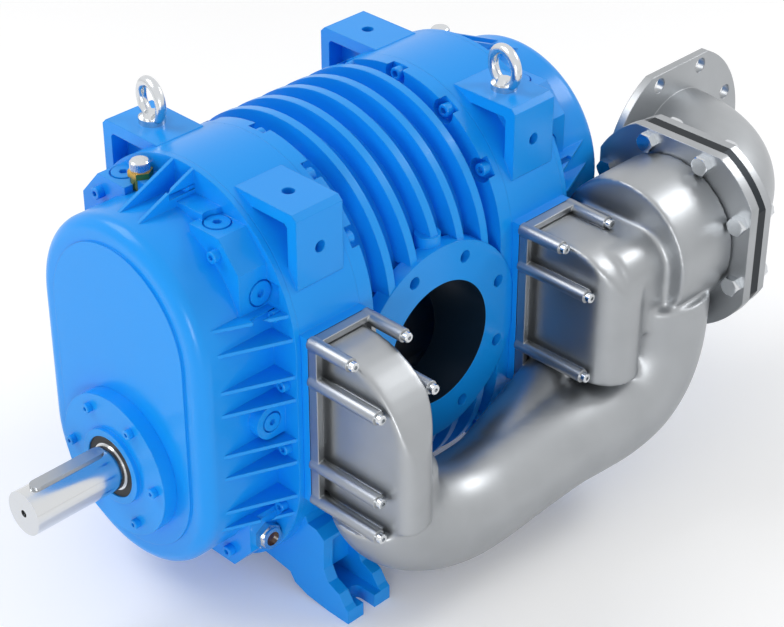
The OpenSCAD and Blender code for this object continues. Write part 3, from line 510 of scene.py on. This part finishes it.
# %% Cross pipe
PIPE_LINE = [(278, -188, -56), (276, -180, -108), (277, -155, -144), (282, -115, -168),
             (285, -69, -180), (286, -22, -181), (288, 23, -175), (292, 69, -167),
             (296, 116, -160), (301, 164, -158), (306, 208, -154), (311, 248, -138),
             (314, 275, -108), (315, 290, -70), (316, 294, -25), (316, 294, 10)]
pipe_tree, given = start_tree("swept_pipe", ["Radius"])
curve = add_node(pipe_tree, "GeometryNodeMeshToCurve", [("Mesh", given["Places"])])
spline = add_node(pipe_tree, "GeometryNodeCurveSplineType", [("Curve", curve.outputs["Curve"])],
                  spline_type="CATMULL_ROM")
even = add_node(pipe_tree, "GeometryNodeResampleCurve", [("Curve", spline.outputs["Curve"])], Count=120)
circle = add_node(pipe_tree, "GeometryNodeCurvePrimitiveCircle", [("Radius", given["Radius"])], Resolution=64)
swept = add_node(pipe_tree, "GeometryNodeCurveToMesh", [
    ("Curve", even.outputs["Curve"]), ("Profile Curve", circle.outputs["Curve"])], Fill_Caps=True)
close_tree(pipe_tree, given, swept.outputs["Mesh"])

line = bpy.data.meshes.new("pipe_line")
line_steps = [(i, i + 1) for i in range(len(PIPE_LINE) - 1)]
line.from_pydata([Vector(point) * MM + CENTRE for point in PIPE_LINE], line_steps, [])
pipe = grown("cross_pipe", pipe_tree, line, {"Radius": PIPE_RADIUS, "Finish": FINISH["cast_aluminium"]})
print("cross pipe:", len(pipe.data.polygons), "faces")

# %% [markdown]
# The pipe is wider than the front hood. Above a ledge, what would stand out in front of the hood's flat
# side is cut away, as on the real casting. A cone fills the corner where the pipe passes under the rear
# hood.

# %% Ledge and skirt
LEDGE_LOW = (130 * MM, -300 * MM, -119 * MM)
LEDGE_HIGH = (420 * MM, -DUCT_Y - 31 * MM, 60 * MM)
for part in (pipe, shoulder):
    cut(part, box("ledge", LEDGE_LOW, LEDGE_HIGH))
SKIRT_REAR, SKIRT_FRONT = (244 * MM, 182 * MM, -104 * MM), (284 * MM, 20 * MM, -172 * MM)
SKIRT_REAR_RADIUS, SKIRT_FRONT_RADIUS = 40 * MM, 66 * MM
skirt = drum("skirt", SKIRT_REAR_RADIUS, SKIRT_REAR, SKIRT_FRONT, 64, SKIRT_FRONT_RADIUS)
soft_parts += [pipe, skirt]
print("soft shapes of the casting:", len(soft_parts))

# %% [markdown]
# Now the shapes become one skin. A voxel of about three millimetres is fine enough for the fillets, and
# keeps the piece well under its limit of triangles. The smoothing works like sanding: edges lose a few
# millimetres and inner corners fill. Then a bore is cut where the valve flap swings.

# %% One skin for the casting
VOXEL = 3.2 * MM
SANDING_ROUNDS = 14
casting = merged("air_casting_skin", soft_parts)
skin = casting.modifiers.new("skin", "REMESH")
skin.mode, skin.voxel_size, skin.use_smooth_shade = "VOXEL", VOXEL, True
sanding = casting.modifiers.new("sanding", "SMOOTH")
sanding.factor, sanding.iterations = 0.5, SANDING_ROUNDS
settled(casting)
cut(casting, along_valve("bore", VALVE_BORE, VALVE_FRONT + 10 * MM, BORE_END))
shade(casting.data, 50)
print("casting skin:", len(casting.data.polygons), "faces")

# %% [markdown]
# What the machine shop and the pattern maker keep sharp is laid over the soft skin. First come the duct
# plates with their shallow trays, and the bosses that carry the screws. The screws give the bosses
# their places and lengths.

# %% Duct plates and bosses
TRAY_RIM = 8 * MM
TRAY_DEPTH = 8 * MM
BOSS_RADIUS = 9 * MM
SCREW_HEAD = 8 * MM
UNDER_HEAD = 0.1 * MM
crisp = []
for side in (-1, 1):
    low_y, high_y = side * DUCT_Y - PLATE_HALF_WIDTH, side * DUCT_Y + PLATE_HALF_WIDTH
    plate = box("duct_plate", (DUCT_FACE, low_y, -PLATE_HALF_HEIGHT), (PLATE_FACE, high_y, PLATE_HALF_HEIGHT))
    tray_low = (PLATE_FACE - TRAY_DEPTH, low_y + TRAY_RIM, -PLATE_HALF_HEIGHT + TRAY_RIM)
    tray_high = (PLATE_FACE + 1 * MM, high_y - TRAY_RIM, PLATE_HALF_HEIGHT - TRAY_RIM)
    crisp.append(cut(plate, box("tray", tray_low, tray_high)))
for corners in solids_of("duct_screws"):
    top = turned_solid(corners, 0)[1]
    place = Vector((0, top.y, top.z)) - CENTRE
    boss_end = Vector((top.x - SCREW_HEAD - UNDER_HEAD, 0, 0))
    crisp.append(drum("boss", BOSS_RADIUS, place + Vector((DUCT_FACE, 0, 0)), place + boss_end, 32))
print("crisp shapes:", len(crisp))

# %% [markdown]
# A thin web ties each long boss to the hood beside it, so that the boss doesn't bend when its screw is
# tightened. The valve's flange is round, with a flat on each of its four sides.

# %% Webs and the valve's flange
WEB_ROWS = (-115 * MM, -61.5 * MM, 61.5 * MM)
WEB_HALF = 2.5 * MM
WEB_OUT = 312 * MM
WEB_INSIDE_HOOD = 1.5 * MM
SCREW_COLUMN = 44.7 * MM
for side in (-1, 1):
    for row in WEB_ROWS:
        for hand in (-1, 1):
            near, far = HOOD_HALF - WEB_INSIDE_HOOD, SCREW_COLUMN
            low_y, high_y = sorted(side * DUCT_Y + hand * end for end in (near, far))
            crisp.append(box("web", (DUCT_FACE, low_y, row - WEB_HALF), (WEB_OUT, high_y, row + WEB_HALF)))
FLANGE_RADIUS = 146 * MM
FLATS_LOW, FLATS_HIGH = (148 * MM, 360 * MM, -70 * MM), (404 * MM, 390 * MM, 186 * MM)
flange = along_valve("flange", FLANGE_RADIUS, FLANGE_Y, FLANGE_Y + FLANGE_THICKNESS, 128)
cut(flange, box("flats", FLATS_LOW, FLATS_HIGH), "INTERSECT")
crisp.append(cut(flange, along_valve("bore", VALVE_BORE, 350 * MM, BORE_END)))
print("crisp shapes with the webs and the flange:", len(crisp))

# %% [markdown]
# The soft skin and the crisp shapes become one piece, which stands for the manifold of the CAD model.

# %% The finished casting
casting = merged("air_casting", [casting] + crisp)
casting.data.materials.append(FINISH["cast_aluminium"])
shade(casting.data, 40)
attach(casting, "housing")
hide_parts("air_manifold")
print("air casting:", len(casting.data.polygons), "faces")


# %% [markdown]
# ## Fasteners
# Geometry Nodes put a finished screw on each place. The tree takes a cloud of points, each with the
# direction that its screw faces, and the sizes of the screw as named inputs.

# %% Put a shape on each place
SCREW_SHARP_ANGLE = 35


def place_shape(tree, given, shape):
    """Put the shape on every point, turned to face its way, and close the tree."""
    facing = add_node(tree, "GeometryNodeInputNamedAttribute", data_type="FLOAT_VECTOR", Name="facing")
    turn = add_node(tree, "FunctionNodeAlignRotationToVector", [("Vector", facing.outputs["Attribute"])],
                    axis="Z")
    copies = add_node(tree, "GeometryNodeInstanceOnPoints", [
        ("Points", given["Places"]), ("Instance", shape), ("Rotation", turn.outputs["Rotation"])])
    close_tree(tree, given, copies.outputs["Instances"])


def run_tree(tree, node, places, sizes):
    """Grow the tree on (point, direction) places, and let the result stand for a CAD node."""
    cloud = bpy.data.meshes.new("finished_" + node)
    cloud.from_pydata([point for point, facing in places], [], [])
    facing = cloud.attributes.new("facing", "FLOAT_VECTOR", "POINT")
    for index, (point, direction) in enumerate(places):
        facing.data[index].vector = direction
    piece = grown("finished_" + node, tree, cloud, dict(sizes, Finish=FINISH[slot_of[node]]))
    shade(piece.data, SCREW_SHARP_ANGLE)
    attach(piece, "housing")
    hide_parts(node)
    print(piece.name, len(places), "places", len(piece.data.polygons), "faces")


# %% [markdown]
# Screws, nuts and caps share two steps: a drum that stands at some height, and a top whose rim is cut
# away by a cone. Each step is a few nodes, so it is written once.

# %% Drums and chamfers inside a tree
def standing_drum(tree, radius, depth, middle, sides):
    """A drum round the Z axis, with its middle at a height."""
    body = add_node(tree, "GeometryNodeMeshCylinder", [("Radius", radius), ("Depth", depth)], Vertices=sides)
    lift = add_node(tree, "ShaderNodeCombineXYZ", [("Z", middle)])
    moved = add_node(tree, "GeometryNodeTransform", [
        ("Geometry", body.outputs["Mesh"]), ("Translation", lift.outputs["Vector"])])
    return moved.outputs["Geometry"]


def chamfered(tree, body, top_radius, height, slope, sides):
    """What a body shares with a cone that has a top radius and widens downwards by a slope."""
    widening = add_node(tree, "ShaderNodeMath", [(0, height), (1, slope)], operation="MULTIPLY")
    foot = add_node(tree, "ShaderNodeMath", [(0, top_radius), (1, widening.outputs[0])], operation="ADD")
    cone = add_node(tree, "GeometryNodeMeshCone", [
        ("Radius Top", top_radius), ("Radius Bottom", foot.outputs[0]), ("Depth", height)], Vertices=sides)
    shared = add_node(tree, "GeometryNodeMeshBoolean", [
        ("Mesh 2", body), ("Mesh 2", cone.outputs["Mesh"])], operation="INTERSECT", solver="EXACT")
    return shared.outputs["Mesh"]


# %% [markdown]
# ## Socket head screws
# A real socket head has a small chamfer round its top, and the hexagon is broached to half its depth.
# The tree makes a drum, keeps what it shares with a wide cone, which leaves the chamfer, and takes a
# six-sided drum away for the socket. The shank goes down from the head into the casting.

# %% Socket screw tree
screw_tree, given = start_tree("socket_screws", [
    "Head Radius", "Head Height", "Socket Radius", "Shank Radius", "Shank Length", "Chamfer"])
head_height, shank_length = given["Head Height"], given["Shank Length"]
half_head = add_node(screw_tree, "ShaderNodeMath", [(0, head_height), (1, 0.5)], operation="MULTIPLY")
top_radius = add_node(screw_tree, "ShaderNodeMath", [
    (0, given["Head Radius"]), (1, given["Chamfer"])], operation="SUBTRACT")
head = standing_drum(screw_tree, given["Head Radius"], head_height, half_head.outputs[0], 32)
head = chamfered(screw_tree, head, top_radius.outputs[0], head_height, 1.0, 32)
socket = standing_drum(screw_tree, given["Socket Radius"], head_height, head_height, 6)
broached = add_node(screw_tree, "GeometryNodeMeshBoolean", [("Mesh 1", head), ("Mesh 2", socket)],
                    operation="DIFFERENCE", solver="EXACT")
shank_middle = add_node(screw_tree, "ShaderNodeMath", [(0, shank_length), (1, -0.5)], operation="MULTIPLY")
shank = standing_drum(screw_tree, given["Shank Radius"], shank_length, shank_middle.outputs[0], 16)
whole = add_node(screw_tree, "GeometryNodeJoinGeometry", [
    ("Geometry", broached.outputs["Mesh"]), ("Geometry", shank)])
place_shape(screw_tree, given, whole.outputs["Geometry"])

# %% [markdown]
# Each row gives a group's middle line (0 for X, 1 for Y), and then its head height, socket radius and
# shank radius, as the standard for its thread has them. The radius, the place and the length are
# measured from the CAD solids.

# %% Put the screws in
SCREWS = {
    "front_cover_screws": (1, 10 * MM, 4 * MM, 5 * MM),
    "rear_cover_screws": (1, 10 * MM, 4 * MM, 5 * MM),
    "seal_cover_screws": (1, 8 * MM, 3 * MM, 4 * MM),
    "casing_screws": (1, 12 * MM, 5 * MM, 6 * MM),
    "duct_screws": (0, 8 * MM, 3 * MM, 4 * MM),
}
SCREW_CHAMFER = 1.0 * MM
for node, (axis, head_height, socket_radius, shank_radius) in SCREWS.items():
    places, lengths = [], []
    for corners in solids_of(node):
        bottom, top, radius = turned_solid(corners, axis)
        facing = (top - bottom).normalized()
        places.append((top - facing * head_height, facing))
        lengths.append(round((top - bottom).length - head_height, 5))
    run_tree(screw_tree, node, places,
             {"Head Radius": radius, "Head Height": head_height, "Socket Radius": socket_radius,
              "Shank Radius": shank_radius, "Shank Length": min(lengths), "Chamfer": SCREW_CHAMFER})

# %% [markdown]
# ## Hexagon bolts and nuts
# The valve's flanges are clamped by eight hexagon bolts. Real hexagon heads and nuts are turned before
# they are cut, so a cone takes their corners off. A prism and a cone share just that form. The thread
# that stands out of the nut is drawn as a row of short cones, one for each turn.

# %% Hexagon bolt tree
HEXAGON_FLAT = 0.89
HEXAGON_SLOPE = 1.73
THREAD_TURNS = 8


def chamfered_hexagon(tree, radius, height):
    """A hexagonal prism whose upper corners are cut by a cone of thirty degrees."""
    top_radius = add_node(tree, "ShaderNodeMath", [(0, radius), (1, HEXAGON_FLAT)], operation="MULTIPLY")
    half = add_node(tree, "ShaderNodeMath", [(0, height), (1, 0.5)], operation="MULTIPLY")
    six_sides = standing_drum(tree, radius, height, half.outputs[0], 6)
    return chamfered(tree, six_sides, top_radius.outputs[0], height, HEXAGON_SLOPE, 32)


bolt_tree, given = start_tree("hexagon_bolts", ["Head Radius", "Head Height", "Shank Radius", "Shank Length",
                                                "Thread Depth", "Pitch"])
shank_length, shank_radius = given["Shank Length"], given["Shank Radius"]
head = chamfered_hexagon(bolt_tree, given["Head Radius"], given["Head Height"])
core_radius = add_node(bolt_tree, "ShaderNodeMath", [(0, shank_radius), (1, given["Thread Depth"])],
                       operation="SUBTRACT")
core_middle = add_node(bolt_tree, "ShaderNodeMath", [(0, shank_length), (1, -0.5)], operation="MULTIPLY")
core = standing_drum(bolt_tree, core_radius.outputs[0], shank_length, core_middle.outputs[0], 24)
ridge = add_node(bolt_tree, "GeometryNodeMeshCone", [
    ("Radius Top", core_radius.outputs[0]), ("Radius Bottom", shank_radius), ("Depth", given["Pitch"])],
    Vertices=24)
tip = add_node(bolt_tree, "ShaderNodeMath", [(0, shank_length), (1, -1)], operation="MULTIPLY")
first_ridge = add_node(bolt_tree, "ShaderNodeCombineXYZ", [("Z", tip.outputs[0])])
ridge_step = add_node(bolt_tree, "ShaderNodeCombineXYZ", [("Z", given["Pitch"])])
turns = add_node(bolt_tree, "GeometryNodeMeshLine", [
    ("Start Location", first_ridge.outputs["Vector"]), ("Offset", ridge_step.outputs["Vector"])],
    Count=THREAD_TURNS)
thread = add_node(bolt_tree, "GeometryNodeInstanceOnPoints", [
    ("Points", turns.outputs["Mesh"]), ("Instance", ridge.outputs["Mesh"])])
whole = add_node(bolt_tree, "GeometryNodeJoinGeometry", [
    ("Geometry", head), ("Geometry", core), ("Geometry", thread.outputs["Instances"])])
place_shape(bolt_tree, given, whole.outputs["Geometry"])

# %% [markdown]
# A nut is the same hexagon with a hole through it, a little wider than the thread that it holds.

# %% Hexagon nut tree
nut_tree, given = start_tree("hexagon_nuts", ["Head Radius", "Head Height", "Bore Radius"])
nut = chamfered_hexagon(nut_tree, given["Head Radius"], given["Head Height"])
bore_depth = add_node(nut_tree, "ShaderNodeMath", [(0, given["Head Height"]), (1, 3)], operation="MULTIPLY")
nut_bore = add_node(nut_tree, "GeometryNodeMeshCylinder", [
    ("Radius", given["Bore Radius"]), ("Depth", bore_depth.outputs[0])], Vertices=24)
drilled = add_node(nut_tree, "GeometryNodeMeshBoolean", [
    ("Mesh 1", nut), ("Mesh 2", nut_bore.outputs["Mesh"])], operation="DIFFERENCE", solver="EXACT")
place_shape(nut_tree, given, drilled.outputs["Mesh"])

# %% [markdown]
# The bolts and the nuts are measured from their CAD solids, as the screws were. A nut looks the same
# from both ends, so it is turned to face the rear, away from the flange that it presses on.

# %% Put the bolts and nuts in
BOLT_HEAD = 12 * MM
BOLT_RADIUS = 8 * MM
NUT_BORE = 8.3 * MM
bolt_places, nut_places = [], []
for corners in solids_of("valve_bolts"):
    bolt_tip, head_end, bolt_head_radius = turned_solid(corners, 1)
    facing = (head_end - bolt_tip).normalized()
    bolt_places.append((head_end - facing * BOLT_HEAD, facing))
    bolt_length = (head_end - bolt_tip).length - BOLT_HEAD
for corners in solids_of("valve_nuts"):
    one_end, other_end, nut_radius = turned_solid(corners, 1)
    near, far = sorted((one_end, other_end), key=lambda point: point.y)
    nut_places.append((near, (far - near).normalized()))
    nut_height = (far - near).length
run_tree(bolt_tree, "valve_bolts", bolt_places,
         {"Head Radius": bolt_head_radius, "Head Height": BOLT_HEAD, "Shank Radius": BOLT_RADIUS,
          "Shank Length": bolt_length, "Thread Depth": 0.9 * MM, "Pitch": 2 * MM})
run_tree(nut_tree, "valve_nuts", nut_places,
         {"Head Radius": nut_radius, "Head Height": nut_height, "Bore Radius": NUT_BORE})

# %% [markdown]
# ## Knurled filler caps
# The oil filler caps are turned by hand, so their rim is knurled. A slightly smaller drum gets a ring of
# thin bars, placed on the points of a circle.

# %% Filler cap tree
KNURLS = 36
cap_tree, given = start_tree("knurled_caps", ["Radius", "Height", "Bar Radius"])
cap_height = given["Height"]
inner = add_node(cap_tree, "ShaderNodeMath", [(0, given["Radius"]), (1, given["Bar Radius"])],
                 operation="SUBTRACT").outputs[0]
top_radius = add_node(cap_tree, "ShaderNodeMath", [(0, inner), (1, 0.88)], operation="MULTIPLY")
half_cap = add_node(cap_tree, "ShaderNodeMath", [(0, cap_height), (1, 0.5)], operation="MULTIPLY")
cap = standing_drum(cap_tree, inner, cap_height, half_cap.outputs[0], 48)
cap = chamfered(cap_tree, cap, top_radius.outputs[0], cap_height, 1.0, 48)
bar_length = add_node(cap_tree, "ShaderNodeMath", [(0, cap_height), (1, 0.78)], operation="MULTIPLY")
bar_middle = add_node(cap_tree, "ShaderNodeMath", [(0, cap_height), (1, 0.41)], operation="MULTIPLY")
bar = standing_drum(cap_tree, given["Bar Radius"], bar_length.outputs[0], bar_middle.outputs[0], 6)
rim = add_node(cap_tree, "GeometryNodeMeshCircle", [("Radius", inner)], Vertices=KNURLS)
bars = add_node(cap_tree, "GeometryNodeInstanceOnPoints", [
    ("Points", rim.outputs["Mesh"]), ("Instance", bar)])
whole = add_node(cap_tree, "GeometryNodeJoinGeometry", [
    ("Geometry", cap), ("Geometry", bars.outputs["Instances"])])
place_shape(cap_tree, given, whole.outputs["Geometry"])

# %% [markdown]
# The caps stand upright on the covers, so every one of them faces up.

# %% Put the filler caps on
KNURL_RADIUS = 0.7 * MM
cap_places = []
for corners in solids_of("oil_filler_caps"):
    one_end, other_end, cap_radius = turned_solid(corners, 2)
    low_end, high_end = sorted((one_end, other_end), key=lambda point: point.z)
    cap_places.append((low_end, Vector((0, 0, 1))))
    measured_height = (high_end - low_end).length
run_tree(cap_tree, "oil_filler_caps", cap_places,
         {"Radius": cap_radius, "Height": measured_height, "Bar Radius": KNURL_RADIUS})

# %% [markdown]
# ## Floor, light and camera
# A product photograph is made on a white sweep under large soft lamps. The floor is pale and keeps the
# pump's soft shadow. A faint glow of its own, which only the camera and reflections see, lifts it to
# the white of the photograph without putting more light on the pump.

# %% Floor
FLOOR_HALF = 6.0
FLOOR_GLOW = 0.12
floor_mesh = bpy.data.meshes.new("studio_floor")
corners = [(-FLOOR_HALF, -FLOOR_HALF, 0), (FLOOR_HALF, -FLOOR_HALF, 0),
           (FLOOR_HALF, FLOOR_HALF, 0), (-FLOOR_HALF, FLOOR_HALF, 0)]
floor_mesh.from_pydata(corners, [], [(0, 1, 2, 3)])
floor = bpy.data.objects.new("studio_floor", floor_mesh)
floor_paper, floor_tree, floor_shader = new_material("white_studio_paper")
floor_shader.inputs["Base Color"].default_value = linear("F8F8F8")
floor_shader.inputs["Roughness"].default_value = 0.9
floor_shader.inputs["Emission Color"].default_value = (1, 1, 1, 1)
floor_ray = add_node(floor_tree, "ShaderNodeLightPath")
floor_seen = add_node(floor_tree, "ShaderNodeMath", [
    (0, floor_ray.outputs["Is Camera Ray"]), (1, floor_ray.outputs["Is Glossy Ray"])], operation="MAXIMUM")
glow = add_node(floor_tree, "ShaderNodeMath", [(0, floor_seen.outputs[0]), (1, FLOOR_GLOW)],
                operation="MULTIPLY")
floor_tree.links.new(glow.outputs[0], floor_shader.inputs["Emission Strength"])
floor_mesh.materials.append(floor_paper)
bpy.context.scene.collection.objects.link(floor)
print("floor:", 2 * FLOOR_HALF, "m wide")

# %% [markdown]
# The world is white for the camera and for reflections, so that metal shows the white studio, while the
# light that falls on the pump stays at a plain level.

# %% World
WORLD_LIGHT = 0.6
WORLD_WHITE = 1.0
world = bpy.data.worlds.new("white_studio")
bpy.context.scene.world = world
world.use_nodes = True
world_tree = world.node_tree
sky = world_tree.nodes["Background"]
sky.inputs["Color"].default_value = (1, 1, 1, 1)
ray = add_node(world_tree, "ShaderNodeLightPath")
seen = add_node(world_tree, "ShaderNodeMath", [
    (0, ray.outputs["Is Camera Ray"]), (1, ray.outputs["Is Glossy Ray"])], operation="MAXIMUM")
clear = add_node(world_tree, "ShaderNodeMath", [
    (0, seen.outputs[0]), (1, ray.outputs["Is Transmission Ray"])], operation="MAXIMUM")
level = add_node(world_tree, "ShaderNodeMapRange", [
    ("Value", clear.outputs[0]), ("To Min", WORLD_LIGHT), ("To Max", WORLD_WHITE)])
world_tree.links.new(level.outputs["Result"], sky.inputs["Strength"])
print("world light:", WORLD_LIGHT, "and", WORLD_WHITE, "where it is seen")


# %% [markdown]
# Three wide lamps give the soft studio light: the key from the upper left, one from behind for the
# bright rims, and a low one for the side with the ports. Wide lamps make soft shadows.

# %% Lamps
def soft_lamp(name, place, aim, size, watts):
    lamp = bpy.data.lights.new(name, "AREA")
    lamp.shape = "RECTANGLE"
    lamp.size, lamp.size_y = size
    lamp.energy = watts
    obj = bpy.data.objects.new(name, lamp)
    obj.location = place
    obj.rotation_euler = (Vector(aim) - Vector(place)).to_track_quat("-Z", "Y").to_euler()
    bpy.context.scene.collection.objects.link(obj)
    print(name, watts, "W")


soft_lamp("key_lamp", (-1.6, -1.4, 2.6), (0, 0, 0.3), (1.6, 1.6), 37)
soft_lamp("rear_lamp", (1.0, 2.4, 2.2), (0, 0, 0.3), (1.0, 0.8), 24)
soft_lamp("front_lamp", (1.9, -2.2, 0.7), (0.2, 0, 0.3), (0.7, 0.9), 18)

# %% [markdown]
# The camera stands where the photographer stood: to the right of the shaft and well above it. Its angles
# and distance were solved from points of the pump whose places are known.

# %% Camera
SENSOR_WIDTH = 36.0
LENS = 98.54
DISTANCE = 2.8036
turn, lift = math.radians(44.777), math.radians(32.740)
target = Vector((0.10955, 0, 0.30296))
camera_data = bpy.data.cameras.new("photo_camera")
camera_data.sensor_width = SENSOR_WIDTH
camera_data.lens = LENS
camera = bpy.data.objects.new("photo_camera", camera_data)
back = Vector((math.sin(turn) * math.cos(lift), -math.cos(turn) * math.cos(lift), math.sin(lift)))
camera.location = target + DISTANCE * back
camera.rotation_euler = (-back).to_track_quat("-Z", "Y").to_euler()
bpy.context.scene.collection.objects.link(camera)
bpy.context.scene.camera = camera
bpy.context.scene.view_settings.view_transform = "Standard"
print("camera at", [round(value, 3) for value in camera.location])
